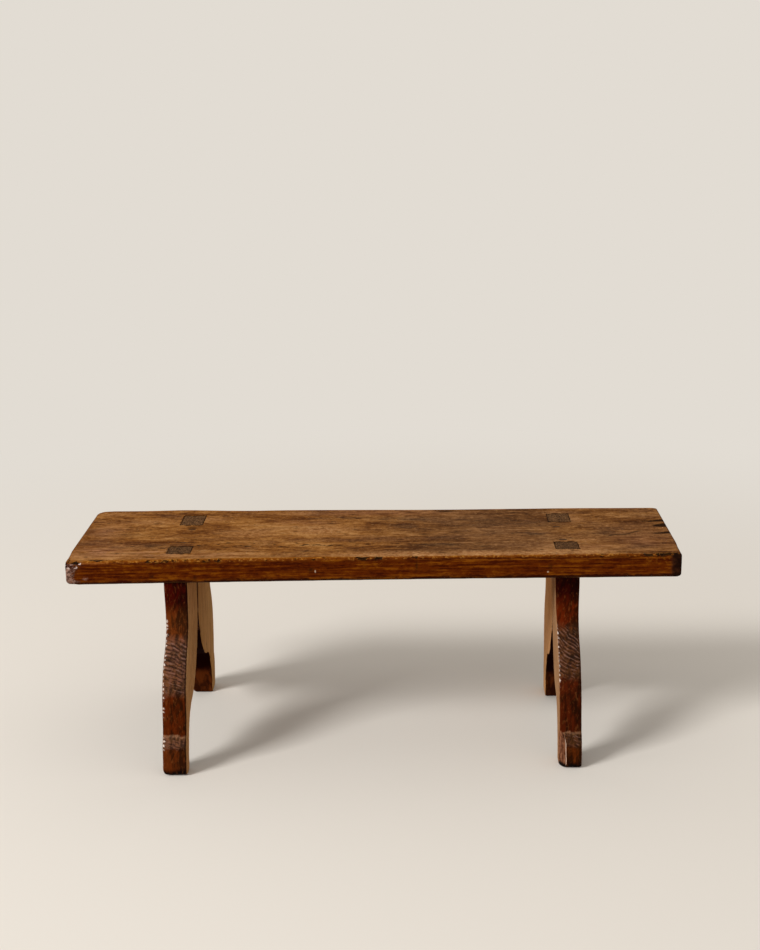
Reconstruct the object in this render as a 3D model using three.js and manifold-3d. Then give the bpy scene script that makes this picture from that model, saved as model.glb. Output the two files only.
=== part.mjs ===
// A low plank bench. One thick plank rests on two crosswise slab legs, which lean outward a little.
// Each leg has an ogee arch between its feet, and two tenons that come up through the plank.
// A wedge spreads each tenon, and forged nails hold the plank down on the shoulder of each leg.
// Millimetres, +Z up. X runs along the seat and +Y points to the back. The origin is on the floor,
// midway along the seat, and in line with the middles of both legs.
import * as THREE from "three";
import { mergeVertices } from "three/addons/utils/BufferGeometryUtils.js";
import Module from "manifold-3d";

const wasm = await Module();
wasm.setup();

// Seat plank, wider at its left end, with a front edge that is a little hollow. Its back edge is
// measured from the middles of the legs.
const seatHeight = 340;
const seatLength = 950;
const seatThickness = 38;
const seatDepthLeft = 275;
const seatDepthRight = 250;
const backEdge = 133;
const frontHollow = 3;
const frontLeftCorner = 12;
const frontRightCorner = 9;
const backRightCorner = 10;
const backLeftCorner = 24;
const topArris = 3;
const underArris = 3;

// Slab legs
const slabThickness = 36;
const slabArris = 2.5;
const tenonThickness = 35;
const tenonRoot = 20;
const tenonSink = 0.3;
const footLedge = 2.5;
const footFacetOut = 5.5;
const footFacetDrop = 16;
const toeRound = 9;

// Wedges, driven down into the middle of each tenon
const wedgeLength = 30;
const wedgeHeadThickness = 4;
const wedgeTipThickness = 1.4;

// Forged nails, with long narrow heads that lie along the grain and are sunk a little
const nailLength = 78;
const nailHeadLength = 12;
const nailHeadWidth = 6;
const nailHeadThickness = 3;
const nailHeadCrown = 1;
const nailCrownInset = 1.2;
const nailShankThickness = 5;
const nailTipThickness = 1.6;
const nailSink = 1.2;

// Clearances: the fit between mating faces, the wider gap on the outer side of each tenon, and the
// distance by which every cut runs past the piece that it cuts
const fit = 0.3;
const outerGap = 1;
const overrun = 4;

// Fineness of the curves, and the welding distance
const cornerSteps = 8;
const frontSteps = 12;
const arrisSteps = 4;
const sweepSteps = 26;
const archSteps = 18;
const toeSteps = 5;
const weldDistance = 0.0001;

// The outer edge of a leg, from its waist down to the ledge above its foot. Heights are shares of
// the way from the ledge up to the seat, and widths are shares of the way from the waist out to
// the ledge.
const sweepShares = [
  { height: 0.742, out: 0 },
  { height: 0.598, out: 0.2 },
  { height: 0.453, out: 0.66 },
  { height: 0.263, out: 0.94 },
  { height: 0, out: 1 },
];

// The arch, in shares of the way from the leg's middle to its foot and of the leg's length: a straight
// side, a round shoulder up to the crown, and the reverse curve from the crown to the apex.
const archShares = {
  spring: { across: 1, height: 0.066 },
  roundPull: { across: 0.927, height: 0.305 },
  crown: { across: 0.633, height: 0.331 },
  lowPull: { across: 0.3, height: 0.371 },
  highPull: { across: 0.107, height: 0.546 },
  apexHeight: 0.695,
};

// The left leg: its place along the seat, its lean and turn, its outline, its arch and its split.
// The arch leans sideways by the apex shift, to the front where it is negative.
const leftFromMiddle = 305.3;
const leftLeanDegrees = 1.3;
const leftTurnDegrees = 0.2;
const leftWaistInset = 3;
const leftFootSpread = 354;
const leftLedgeHeight = 65;
const leftApexShift = -22;
const leftSplitWidth = 11;
const leftSplitTopShare = 0.895;

// The left leg's front and rear halves. A setback is from the seat's long edge to the leg's own edge,
// a tenon is inset from the leg's edge, and a nail is inset from its tenon towards the middle.
const leftFrontSetback = 3.1;
const leftFrontFootWidth = 30;
const leftFrontTenonInset = 29;
const leftFrontTenonWidth = 34;
const leftFrontNailInset = 25;
const leftFrontNailShift = 0.8;
const leftRearSetback = 0.5;
const leftRearFootWidth = 38;
const leftRearTenonInset = 31.5;
const leftRearTenonWidth = 52;
const leftRearNailInset = 24;
const leftRearNailShift = -4.5;

// The right leg, narrower and shorter in its waist
const rightFromMiddle = 302.2;
const rightLeanDegrees = 0.84;
const rightTurnDegrees = -0.6;
const rightWaistInset = 5;
const rightFootSpread = 309;
const rightLedgeHeight = 58;
const rightApexShift = -20;
const rightSplitWidth = 2;
const rightSplitTopShare = 0.71;

// The right leg's front and rear halves
const rightFrontSetback = 20.3;
const rightFrontFootWidth = 40;
const rightFrontTenonInset = 8;
const rightFrontTenonWidth = 34;
const rightFrontNailInset = 18.5;
const rightFrontNailShift = -2.6;
const rightRearSetback = 16;
const rightRearFootWidth = 40;
const rightRearTenonInset = 19;
const rightRearTenonWidth = 42;
const rightRearNailInset = 26.5;
const rightRearNailShift = -7;

// Both legs, with their halves
const legs = [
  {
    name: "left",
    side: -1,
    fromMiddle: leftFromMiddle,
    leanDegrees: leftLeanDegrees,
    turnDegrees: leftTurnDegrees,
    waistInset: leftWaistInset,
    footSpread: leftFootSpread,
    ledgeHeight: leftLedgeHeight,
    apexShift: leftApexShift,
    splitWidth: leftSplitWidth,
    splitTopShare: leftSplitTopShare,
    halves: [
      {
        name: "front",
        side: -1,
        setback: leftFrontSetback,
        footWidth: leftFrontFootWidth,
        tenonInset: leftFrontTenonInset,
        tenonWidth: leftFrontTenonWidth,
        nailInset: leftFrontNailInset,
        nailShift: leftFrontNailShift,
      },
      {
        name: "rear",
        side: 1,
        setback: leftRearSetback,
        footWidth: leftRearFootWidth,
        tenonInset: leftRearTenonInset,
        tenonWidth: leftRearTenonWidth,
        nailInset: leftRearNailInset,
        nailShift: leftRearNailShift,
      },
    ],
  },
  {
    name: "right",
    side: 1,
    fromMiddle: rightFromMiddle,
    leanDegrees: rightLeanDegrees,
    turnDegrees: rightTurnDegrees,
    waistInset: rightWaistInset,
    footSpread: rightFootSpread,
    ledgeHeight: rightLedgeHeight,
    apexShift: rightApexShift,
    splitWidth: rightSplitWidth,
    splitTopShare: rightSplitTopShare,
    halves: [
      {
        name: "front",
        side: -1,
        setback: rightFrontSetback,
        footWidth: rightFrontFootWidth,
        tenonInset: rightFrontTenonInset,
        tenonWidth: rightFrontTenonWidth,
        nailInset: rightFrontNailInset,
        nailShift: rightFrontNailShift,
      },
      {
        name: "rear",
        side: 1,
        setback: rightRearSetback,
        footWidth: rightRearFootWidth,
        tenonInset: rightRearTenonInset,
        tenonWidth: rightRearTenonWidth,
        nailInset: rightRearNailInset,
        nailShift: rightRearNailShift,
      },
    ],
  },
];

// Sizes that follow from those above
const legLength = seatHeight - seatThickness;
const shoulderHeight = legLength - fit;
const tenonTop = seatHeight - tenonSink;
const frontMiddle = backEdge - (seatDepthLeft + seatDepthRight) / 2;
const frontEdge = new THREE.QuadraticBezierCurve(
  new THREE.Vector2(-seatLength / 2, backEdge - seatDepthLeft),
  new THREE.Vector2(0, frontMiddle + 2 * frontHollow),
  new THREE.Vector2(seatLength / 2, backEdge - seatDepthRight),
);
const frontAt = (x) => frontEdge.getPoint((x + seatLength / 2) / seatLength).y;
const placeOf = (leg) => leg.side * leg.fromMiddle;
const seatReach = (leg, half) => (half.side > 0 ? backEdge : -frontAt(placeOf(leg)));
const topReach = (leg, half) => seatReach(leg, half) - half.setback;
const footReach = (leg) => leg.footSpread / 2 + footLedge + footFacetOut;

// Finishes
const seatWood = new THREE.MeshStandardMaterial({ color: 0x8a5626, roughness: 0.45, metalness: 0 });
const legWood = new THREE.MeshStandardMaterial({ color: 0x4f2410, roughness: 0.4, metalness: 0 });
const wedgeWood = new THREE.MeshStandardMaterial({ color: 0x54402a, roughness: 0.6, metalness: 0 });
const nailIron = new THREE.MeshStandardMaterial({ color: 0x2a211c, roughness: 0.7, metalness: 0.8 });

// A closed geometry as a solid that can be cut and joined
function solidOf(geometry) {
  const bare = geometry.clone();
  bare.deleteAttribute("normal");
  bare.deleteAttribute("uv");
  const merged = mergeVertices(bare, weldDistance);
  const vertProperties = merged.getAttribute("position").array;
  const triVerts = new Uint32Array(merged.index.array);
  return new wasm.Manifold(new wasm.Mesh({ numProp: 3, vertProperties, triVerts }));
}

// A solid as a named mesh
function meshOf(name, solid, material) {
  const { vertProperties, triVerts } = solid.getMesh();
  const geometry = new THREE.BufferGeometry();
  geometry.setAttribute("position", new THREE.BufferAttribute(vertProperties, 3));
  geometry.setIndex(new THREE.BufferAttribute(triVerts, 1));
  geometry.computeVertexNormals();
  const mesh = new THREE.Mesh(geometry, material);
  mesh.name = name;
  return mesh;
}

// A closed skin through level rings, listed from the lowest up, each with as many points as the next
// and turning anticlockwise seen from above
function loft(rings) {
  const count = rings[0].points.length;
  const positions = rings.flatMap(({ points, z }) => points.flatMap((p) => [p.x, p.y, z]));
  const index = [];
  for (let level = 0; level < rings.length - 1; level += 1) {
    for (let i = 0; i < count; i += 1) {
      const next = (i + 1) % count;
      const low = level * count;
      const high = low + count;
      index.push(low + i, low + next, high + next, low + i, high + next, high + i);
    }
  }
  const lid = (rings.length - 1) * count;
  THREE.ShapeUtils.triangulateShape(rings[0].points, []).forEach(([a, b, c]) => index.push(a, c, b));
  THREE.ShapeUtils.triangulateShape(rings.at(-1).points, []).forEach(([a, b, c]) => {
    index.push(lid + a, lid + b, lid + c);
  });
  const geometry = new THREE.BufferGeometry();
  geometry.setAttribute("position", new THREE.Float32BufferAttribute(positions, 3));
  geometry.setIndex(index);
  return geometry;
}

// A square-cut peg through sections { z, x, y }, listed from the lowest up: x and y are full sizes
function peg(sections, shiftX = 0, shiftY = 0) {
  const rings = sections.map(({ z, x, y }) => ({
    z,
    points: [[-1, -1], [1, -1], [1, 1], [-1, 1]].map(
      ([i, j]) => new THREE.Vector2(shiftX + (i * x) / 2, shiftY + (j * y) / 2),
    ),
  }));
  return loft(rings);
}

// The same peg, grown on every side but its top and bottom: the hole that it goes into
const grown = (sections, gap) => sections.map(({ z, x, y }) => ({ z, x: x + 2 * gap, y: y + 2 * gap }));

// Slides each level of a leg's geometry outward, so that it leans, and stays true at the seat's top
function leanOut(geometry, leg) {
  const slope = leg.side * Math.tan(THREE.MathUtils.degToRad(leg.leanDegrees));
  return geometry.applyMatrix4(new THREE.Matrix4().set(
    1, 0, -slope, slope * seatHeight,
    0, 1, 0, 0,
    0, 0, 1, 0,
    0, 0, 0, 1,
  ));
}

// A leg's geometry in its place under the seat, to cut the seat with
function underSeat(geometry, leg) {
  const turn = THREE.MathUtils.degToRad(leg.turnDegrees);
  return leanOut(geometry, leg).rotateZ(turn).translate(placeOf(leg), 0, 0);
}

// The plank's outline seen from above: four edges, each followed by a rounded corner
function seatOutline() {
  const backRight = new THREE.Vector2(seatLength / 2, backEdge);
  const backLeft = new THREE.Vector2(-seatLength / 2, backEdge);
  const edges = [
    { curve: frontEdge, steps: frontSteps, corner: frontRightCorner },
    { curve: new THREE.LineCurve(frontEdge.v2, backRight), steps: 1, corner: backRightCorner },
    { curve: new THREE.LineCurve(backRight, backLeft), steps: 1, corner: backLeftCorner },
    { curve: new THREE.LineCurve(backLeft, frontEdge.v0), steps: 1, corner: frontLeftCorner },
  ];
  const stretches = edges.map(({ curve, steps, corner }, i) => {
    const length = curve.getLength();
    const start = edges.at(i - 1).corner / length;
    const end = 1 - corner / length;
    return Array.from({ length: steps + 1 }, (_, step) => (
      curve.getPointAt(THREE.MathUtils.lerp(start, end, step / steps))
    ));
  });
  return stretches.flatMap((stretch, i) => {
    const next = stretches[(i + 1) % stretches.length];
    const round = new THREE.QuadraticBezierCurve(stretch.at(-1), edges[i].curve.getPoint(1), next[0]);
    return [...stretch.slice(0, -1), ...round.getPoints(cornerSteps).slice(0, -1)];
  });
}

// An outline that turns anticlockwise, drawn in by one distance all round
function drawnIn(outline, distance) {
  return outline.map((point, i) => {
    const along = outline[(i + 1) % outline.length].clone().sub(outline.at(i - 1)).normalize();
    return new THREE.Vector2(point.x - along.y * distance, point.y + along.x * distance);
  });
}

// The plank with its worn edges: level outlines that draw in round a quarter turn at top and bottom
function plank() {
  const outline = seatOutline();
  const ring = (inset, z) => ({ points: drawnIn(outline, inset), z });
  const rings = [];
  for (let step = arrisSteps; step >= 0; step -= 1) {
    const turn = (Math.PI / 2) * (step / arrisSteps);
    rings.push(ring(underArris * (1 - Math.cos(turn)), legLength + underArris * (1 - Math.sin(turn))));
  }
  for (let step = 0; step <= arrisSteps; step += 1) {
    const turn = (Math.PI / 2) * (step / arrisSteps);
    rings.push(ring(topArris * (1 - Math.cos(turn)), seatHeight - topArris * (1 - Math.sin(turn))));
  }
  return solidOf(loft(rings));
}

// Where each tenon stands across its leg, measured from the leg's middle
function tenonPlace(leg, half) {
  return half.side * (topReach(leg, half) - half.tenonInset - half.tenonWidth / 2);
}

// The tenon, from its root in the slab to its end just under the seat's top
function tenonGeometry(leg, half) {
  const section = { x: tenonThickness, y: half.tenonWidth };
  return peg(
    [{ z: shoulderHeight - tenonRoot, ...section }, { z: tenonTop, ...section }],
    0,
    tenonPlace(leg, half),
  );
}

// The mortise in the seat: the tenon and its fit, and the wider gap on the outer side
function mortiseGeometry(leg, half) {
  const section = { x: tenonThickness + 2 * fit + outerGap, y: half.tenonWidth + 2 * fit };
  return peg(
    [{ z: legLength - overrun, ...section }, { z: seatHeight + overrun, ...section }],
    (leg.side * outerGap) / 2,
    tenonPlace(leg, half),
  );
}

// The wedge's sections; its kerf in the tenon is the same shape with the fit added
function wedgeSections(half) {
  return [
    { z: tenonTop - wedgeLength, x: wedgeTipThickness, y: half.tenonWidth },
    { z: tenonTop, x: wedgeHeadThickness, y: half.tenonWidth },
  ];
}

function kerfGeometry(leg, half) {
  const [tip, head] = grown(wedgeSections(half), fit);
  const past = half.tenonWidth + 2 * overrun;
  return peg(
    [
      { z: tip.z - fit, x: tip.x, y: past },
      { z: head.z, x: head.x, y: past },
      { z: head.z + overrun, x: head.x, y: past },
    ],
    0,
    tenonPlace(leg, half),
  );
}

// Where each nail stands across its leg, on the inner side of its tenon
function nailPlace(leg, half) {
  return half.side * (topReach(leg, half) - half.tenonInset - half.tenonWidth - half.nailInset);
}

// A nail: a tapered square shank, and a long head with a low crown
function nailSections() {
  const crown = seatHeight - nailSink;
  const neck = crown - nailHeadThickness;
  const head = { x: nailHeadLength, y: nailHeadWidth };
  return [
    { z: crown - nailLength, x: nailTipThickness, y: nailTipThickness },
    { z: neck, x: nailShankThickness, y: nailShankThickness },
    { z: neck, ...head },
    { z: crown - nailHeadCrown, ...head },
    { z: crown, x: nailHeadLength - 2 * nailCrownInset, y: nailHeadWidth - 2 * nailCrownInset },
  ];
}

function nailGeometry(leg, half) {
  return peg(nailSections(), leg.side * half.nailShift, nailPlace(leg, half));
}

// The nail's hole: the shank and head with the fit round them, open at the seat's top
function nailHoleGeometry(leg, half) {
  const [tip, neck, under, shoulder] = grown(nailSections(), fit);
  return peg(
    [
      { ...tip, z: tip.z - fit },
      { ...neck, z: neck.z - fit },
      { ...under, z: under.z - fit },
      { ...shoulder, z: seatHeight + overrun },
    ],
    leg.side * half.nailShift,
    nailPlace(leg, half),
  );
}

// One outer edge of a leg, from the sole up to above the shoulder, as distances from the middle
function slabEdge(leg, half) {
  const ledge = leg.footSpread / 2;
  const foot = footReach(leg);
  const top = topReach(leg, half);
  const waist = top - leg.waistInset;
  const toe = new THREE.QuadraticBezierCurve(
    new THREE.Vector2(foot - toeRound, 0),
    new THREE.Vector2(foot, 0),
    new THREE.Vector2(foot, toeRound),
  );
  const sweep = new THREE.SplineCurve([
    ...sweepShares.toReversed().map(({ height, out }) => new THREE.Vector2(
      THREE.MathUtils.lerp(waist, ledge, out),
      THREE.MathUtils.lerp(leg.ledgeHeight, legLength, height),
    )),
    new THREE.Vector2(top, legLength),
  ]);
  return [
    ...toe.getPoints(toeSteps),
    new THREE.Vector2(foot, leg.ledgeHeight - footFacetDrop),
    new THREE.Vector2(ledge + footLedge, leg.ledgeHeight),
    ...sweep.getPoints(sweepSteps),
    new THREE.Vector2(top, legLength + slabArris + overrun),
  ];
}

// Sets an outline drawn across the leg and upward, with its thickness along X and centred
function acrossLeg(geometry, thickness) {
  const turned = new THREE.Matrix4().makeBasis(
    new THREE.Vector3(0, 1, 0),
    new THREE.Vector3(0, 0, 1),
    new THREE.Vector3(1, 0, 0),
  );
  return geometry.applyMatrix4(turned).translate(-thickness / 2, 0, 0);
}

// The slab before its arch and joints are cut, with its edges worn round
function slabBlank(leg) {
  const [front, rear] = leg.halves.map((half) => slabEdge(leg, half));
  const frontEdgeDown = front.toReversed().map((p) => new THREE.Vector2(-p.x, p.y));
  const geometry = new THREE.ExtrudeGeometry(new THREE.Shape([...rear, ...frontEdgeDown]), {
    depth: slabThickness - 2 * slabArris,
    bevelSize: slabArris,
    bevelThickness: slabArris,
    bevelOffset: -slabArris,
    bevelSegments: arrisSteps,
    curveSegments: 1,
  });
  return acrossLeg(geometry, slabThickness - 2 * slabArris);
}

// One side of the arch, from under the sole up to the top of the split, drawn across the leg
function archSide(leg, half) {
  const across = footReach(leg) - half.footWidth;
  const at = (share) => new THREE.Vector2(share.across * across, share.height * legLength);
  const crown = at(archShares.crown);
  const apex = new THREE.Vector2(leg.splitWidth / 2, archShares.apexHeight * legLength);
  const round = new THREE.QuadraticBezierCurve(at(archShares.spring), at(archShares.roundPull), crown);
  const reverse = new THREE.CubicBezierCurve(crown, at(archShares.lowPull), at(archShares.highPull), apex);
  const side = [
    new THREE.Vector2(across, -overrun),
    ...round.getPoints(archSteps),
    ...reverse.getPoints(archSteps).slice(1),
    new THREE.Vector2(apex.x, leg.splitTopShare * legLength),
  ];
  return side.map((p) => {
    const rise = THREE.MathUtils.clamp(p.y / apex.y, 0, 1);
    return new THREE.Vector2(half.side * p.x + leg.apexShift * rise, p.y);
  });
}

// The arch between the feet, with the split that runs on up from its apex
function archGeometry(leg) {
  const [front, rear] = leg.halves.map((half) => archSide(leg, half));
  const through = slabThickness + 2 * overrun;
  const geometry = new THREE.ExtrudeGeometry(new THREE.Shape([...rear, ...front.toReversed()]), {
    depth: through,
    bevelEnabled: false,
    curveSegments: 1,
  });
  return acrossLeg(geometry, through);
}

// A box that takes off everything above the shoulder
function aboveShoulder(leg) {
  const size = { x: slabThickness + 2 * overrun, y: 2 * footReach(leg) };
  return peg([
    { z: shoulderHeight, ...size },
    { z: shoulderHeight + slabArris + 2 * overrun, ...size },
  ]);
}

// The finished slab leg
function slabLeg(leg) {
  const leaning = (geometry) => solidOf(leanOut(geometry, leg));
  let slab = leaning(slabBlank(leg)).subtract(leaning(aboveShoulder(leg)));
  for (const half of leg.halves) {
    slab = slab.add(leaning(tenonGeometry(leg, half)));
    slab = slab.subtract(leaning(kerfGeometry(leg, half)));
    slab = slab.subtract(leaning(nailHoleGeometry(leg, half)));
  }
  return slab.subtract(leaning(archGeometry(leg)));
}

// The seat, with a mortise for each tenon and a hole for each nail
function seatPlank() {
  let seat = plank();
  for (const leg of legs) {
    for (const half of leg.halves) {
      seat = seat.subtract(solidOf(underSeat(mortiseGeometry(leg, half), leg)));
      seat = seat.subtract(solidOf(underSeat(nailHoleGeometry(leg, half), leg)));
    }
  }
  return seat;
}

// One leg with its wedges and nails, in a group that stands at the leg's place, turned as it is
function legGroup(leg) {
  const group = new THREE.Group();
  group.position.x = placeOf(leg);
  group.rotation.z = THREE.MathUtils.degToRad(leg.turnDegrees);
  group.add(meshOf(`${leg.name}_slab_leg`, slabLeg(leg), legWood));
  for (const half of leg.halves) {
    const wedge = peg(wedgeSections(half), 0, tenonPlace(leg, half));
    const nail = nailGeometry(leg, half);
    const name = `${leg.name}_${half.name}`;
    group.add(meshOf(`${name}_wedge`, solidOf(leanOut(wedge, leg)), wedgeWood));
    group.add(meshOf(`${name}_nail`, solidOf(leanOut(nail, leg)), nailIron));
  }
  return group;
}

const group = new THREE.Group();
group.add(meshOf("seat_plank", seatPlank(), seatWood));
legs.forEach((leg) => group.add(legGroup(leg)));

export default group;
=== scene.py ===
"""Looks of a low bench: a worn plank on two slab legs, with the wedges and nails that hold them."""

import math

import bpy
import numpy as np
from mathutils import Matrix, Vector, kdtree


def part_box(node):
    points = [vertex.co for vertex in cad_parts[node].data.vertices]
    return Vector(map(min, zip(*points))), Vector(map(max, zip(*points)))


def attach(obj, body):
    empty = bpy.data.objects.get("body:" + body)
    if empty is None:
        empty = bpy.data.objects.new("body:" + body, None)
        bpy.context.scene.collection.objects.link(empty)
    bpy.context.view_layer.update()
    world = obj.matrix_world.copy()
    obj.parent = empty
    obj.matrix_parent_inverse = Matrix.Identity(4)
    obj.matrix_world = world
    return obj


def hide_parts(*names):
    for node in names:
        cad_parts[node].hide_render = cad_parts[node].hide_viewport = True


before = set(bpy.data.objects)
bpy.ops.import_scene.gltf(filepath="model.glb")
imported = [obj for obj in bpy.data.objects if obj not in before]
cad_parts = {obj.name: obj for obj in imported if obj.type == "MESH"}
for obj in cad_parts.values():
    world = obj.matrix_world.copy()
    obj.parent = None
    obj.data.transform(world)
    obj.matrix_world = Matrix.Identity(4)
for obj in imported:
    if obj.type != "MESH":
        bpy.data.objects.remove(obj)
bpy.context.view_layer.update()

# Sizes and places are in metres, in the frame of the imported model, unless a name says otherwise. In
# millimetres are the tables of chips, waves, cracks, spots and small marks, and the lumps that the
# materials are made of.
MM_PER_METRE = 1000

LEGS = ("left_slab_leg", "right_slab_leg")
SEAT_LOW, SEAT_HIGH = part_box("seat_plank")
UNDERSIDE = SEAT_LOW.z
SEAT_TOP = SEAT_HIGH.z

# The camera stands where the photograph was taken from.
CAMERA_PLACE = Vector((0.05478, -2.32191, 1.05807))
CAMERA_YAW = 0.019906
CAMERA_PITCH = 0.261630
CAMERA_ROLL = 0.012232
FOCAL_PIXELS = 1500
FRAME_HEIGHT_PIXELS = 950
SENSOR_MM = 36

# The key light comes from the front left and fairly low, and the room fills the shade.
KEY_TOWARDS = Vector((-0.66, -0.50, 0.60))
KEY_DISTANCE = 9
KEY_SIDE = 2.4
KEY_WATTS = 600
FILL_STRENGTH = 0.58
FILL_TINT = (255, 250, 244)
BACKGROUND = (226, 220, 211)

# The floor is pale to the eye, and sends the light of a brown wooden floor up to the bench.
FLOOR_HALF = 40
FLOOR_PALE = (228, 222, 213)
FLOOR_BOUNCE = (165, 132, 98)
FLOOR_FADE_FROM = 0.6
FLOOR_FADE_TO = 2.2

# Face sizes of the worked meshes. The faces of the seat are longer along its grain, and those of the
# legs from front to back.
SEAT_FACE = 0.0020
SEAT_STRETCH = (1.6, 1, 1)
LEG_FACE = 0.00125
LEG_STRETCH = (1, 2, 1)
SMALL_FACE = 0.0005
EVEN_OUT_TIMES = 2
LATTICE = 48
ROUGH_LAYERS = 3

# Around the tenons the wood keeps its sharp corners, over this distance and to this depth.
CRISP_REACH = 0.005
CRISP_DEPTH = 0.0025
# The ends of a packed leg are its vertices within this height of its top and of the floor.
CROWN_BAND = 0.001
# A wedge fills its kerf right up to the wood on both sides.
WEDGE_FILL = 1.45

# How rough the worn wood, the waxed wood, the wedges and the nails are, and how much light they mirror.
MATTE = (0.55, 0.004)
POLISHED = (0.22, 0.02)
WEDGE = (0.6, 0.004)
NAIL = (0.5, 0.05)

# The seat's wear. Its front top edge is worn all along, and more from the first place along X in
# LEFT_END to the second.
SEAT_DISH = 0.0007
SEAT_RIPPLE = 0.0003
ARRIS_WEAR = 0.0006
LEFT_END_WEAR = 0.0014
LEFT_END = (-0.30, -0.42)
# How far the dirt round a tenon reaches along X and Y.
OUTLINE_X = 0.0017
OUTLINE_Y = 0.0045
# A chip in the front top edge is its place along X, its length and its depth.
FRONT_CHIPS = (
    (-456.5, 13, 2.4), (-427, 26, 0.6), (-325, 70, 1.1),
    (-255, 60, 1.1), (-346, 6, 1.8), (-323, 13, 1.2),
    (-308, 9, 1.5), (-288, 5, 1.6), (-270, 10, 1.2),
    (-260, 4, 1.6), (-238, 11, 1.4), (-206, 6, 1),
    (-120, 6, 1), (-18, 16, 2.4), (7, 14, 2.8),
    (66, 6, 1.8), (352, 18, 1.2), (423, 14, 2.6),
    (437, 8, 1.6), (450, 18, 2.6), (464, 7, 1.8),
)
# The corner that is gnawed away most: the reach of the damage along X and Y, how deep it goes, the
# heights between which it gets deeper, and where its face gets bare along X and along Z.
CORNER_REACH = (0.036, 0.026)
CORNER_BITE = 0.0030
CORNER_UPPER = (0.318, 0.334)
CORNER_BARE_X = (-0.4590, -0.4650)
CORNER_BARE_Z = (0.3340, 0.3290)
# How far the rear edge leaves its straight line: a place along X, the way out and the width. The last
# one is so wide that it brings the whole edge out. They fade out this far in front of the edge.
REAR_WAVES_REACH = 0.035
REAR_WAVES = (
    (-328, 4.4, 45), (-215, -1.9, 40), (92, -3, 120), (330, 1, 60), (0, 2.5, 2000),
)
# Evening out draws the edges in, so the sides go back out this far, in the right half a little further,
# and the ends further still, between the two distances of END_PART from the middle. Then the front
# face's corners are rounded inside END_LIMIT: the lower left, the lower right and the upper ones. The
# rounding fades out behind the face, over the two distances of ROUND_FADE.
SWELL = 0.0008
SWELL_RIGHT = 0.0006
RIGHT_HALF = (0.0, 0.4)
END_SWELL = (0.0024, 0.0016)
END_PART = (0.435, 0.465)
END_LIMIT = 0.4746
LOWER_ROUNDS = (0.0075, 0.0050)
UPPER_ROUND = 0.0050
ROUND_FADE = (0.06, 0.02)
# Cracks in from the right end: a place along Y, where the crack ends along X, its half width and depth.
# They wander from side to side by this much.
CRACK_WANDER = 0.005
END_CHECKS = (
    (56.7, 438, 7, 2.5), (31, 451, 13, 4), (-10.4, 445, 7, 2.5),
)
# Soft spots on the top: the middle and the half sizes along X and Y, and the strength.
TOP_STAINS = (
    (-342, -66, 34, 12, 0.5), (40, 75, 63, 13, 0.75), (-53, 83, 42, 9, 0.6),
    (48, 29, 46, 20, 0.55), (164, 55, 56, 26, 0.6), (169, 4, 40, 17, 0.55),
    (259, -11, 18, 12, 0.9), (270, 41, 36, 17, 0.5), (381, -6, 35, 19, 0.5),
    (416, -75, 31, 16, 0.35), (-406, -69, 19, 8, 0.6), (-406, -5, 41, 11, 0.35),
    (-111, -96, 16, 8, 0.7), (-46, -92, 16, 5, 0.5), (100, -64, 45, 10, 0.6),
)
TOP_GOLD = (
    (-91, 15, 52, 25, 0.7), (-204, 1, 49, 22, 0.5), (-377, 67, 44, 18, 0.5),
    (-279, 82, 34, 12, 0.6), (-130, 114, 37, 10, 0.45), (330, 68, 15, 13, 0.8),
    (300, 108, 30, 10, 0.6), (342, -43, 25, 9, 0.6), (0, -116, 60, 13, 0.9),
    (70, -114, 70, 15, 1.0), (170, -112, 70, 16, 1.0), (260, -110, 60, 14, 1.0),
    (330, -108, 40, 12, 0.8), (-445, 115, 38, 11, 0.4),
)
TOP_REDDISH = (
    (-430, -95, 50, 35, 1.0), (-340, -105, 70, 20, 0.8), (-250, -110, 70, 14, 0.6),
    (-440, 10, 30, 50, 0.6), (-130, 60, 50, 16, 0.4), (420, -50, 50, 50, 0.5),
    (330, -80, 50, 15, 0.5), (0, 112, 120, 14, 0.6),
)
TOP_DARK_SPOTS = (
    (79, -10, 8, 3.3, 0.8), (80, -62, 5, 3.1, 0.9), (94, -69, 6, 2.6, 0.9),
    (120, -64, 9, 3.1, 0.7), (172, -74, 13, 2.6, 0.95), (117, 118, 14, 4.2, 0.9),
    (-55, -67, 8, 3.6, 0.6), (51, -29, 6, 2.7, 0.7), (296, 29, 10, 3.4, 0.8),
    (299, -39, 8, 3.2, 0.8), (-301, 33, 8, 4.5, 0.9), (-303, -46, 8, 3.2, 0.8),
    (-354, -61, 14, 2.1, 0.75), (-335, -75, 5, 3.1, 0.7), (-365, 61, 4, 4, 0.6),
    (-233, -52, 6, 2.6, 0.6), (-205, -66, 10, 2.1, 0.6), (-403, -100, 14, 2, 0.6),
)
# Soft spots on the front face, which lie along X and Z.
FACE_DARK_SPOTS = (
    (-342, 313.4, 2.6, 2.4, 1.0), (-276, 310.7, 2.4, 2.4, 0.9), (-97, 320.5, 4, 3.4, 0.9),
    (272, 321, 2.6, 5, 0.7), (66, 324, 2.2, 7.5, 0.75),
)
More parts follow.
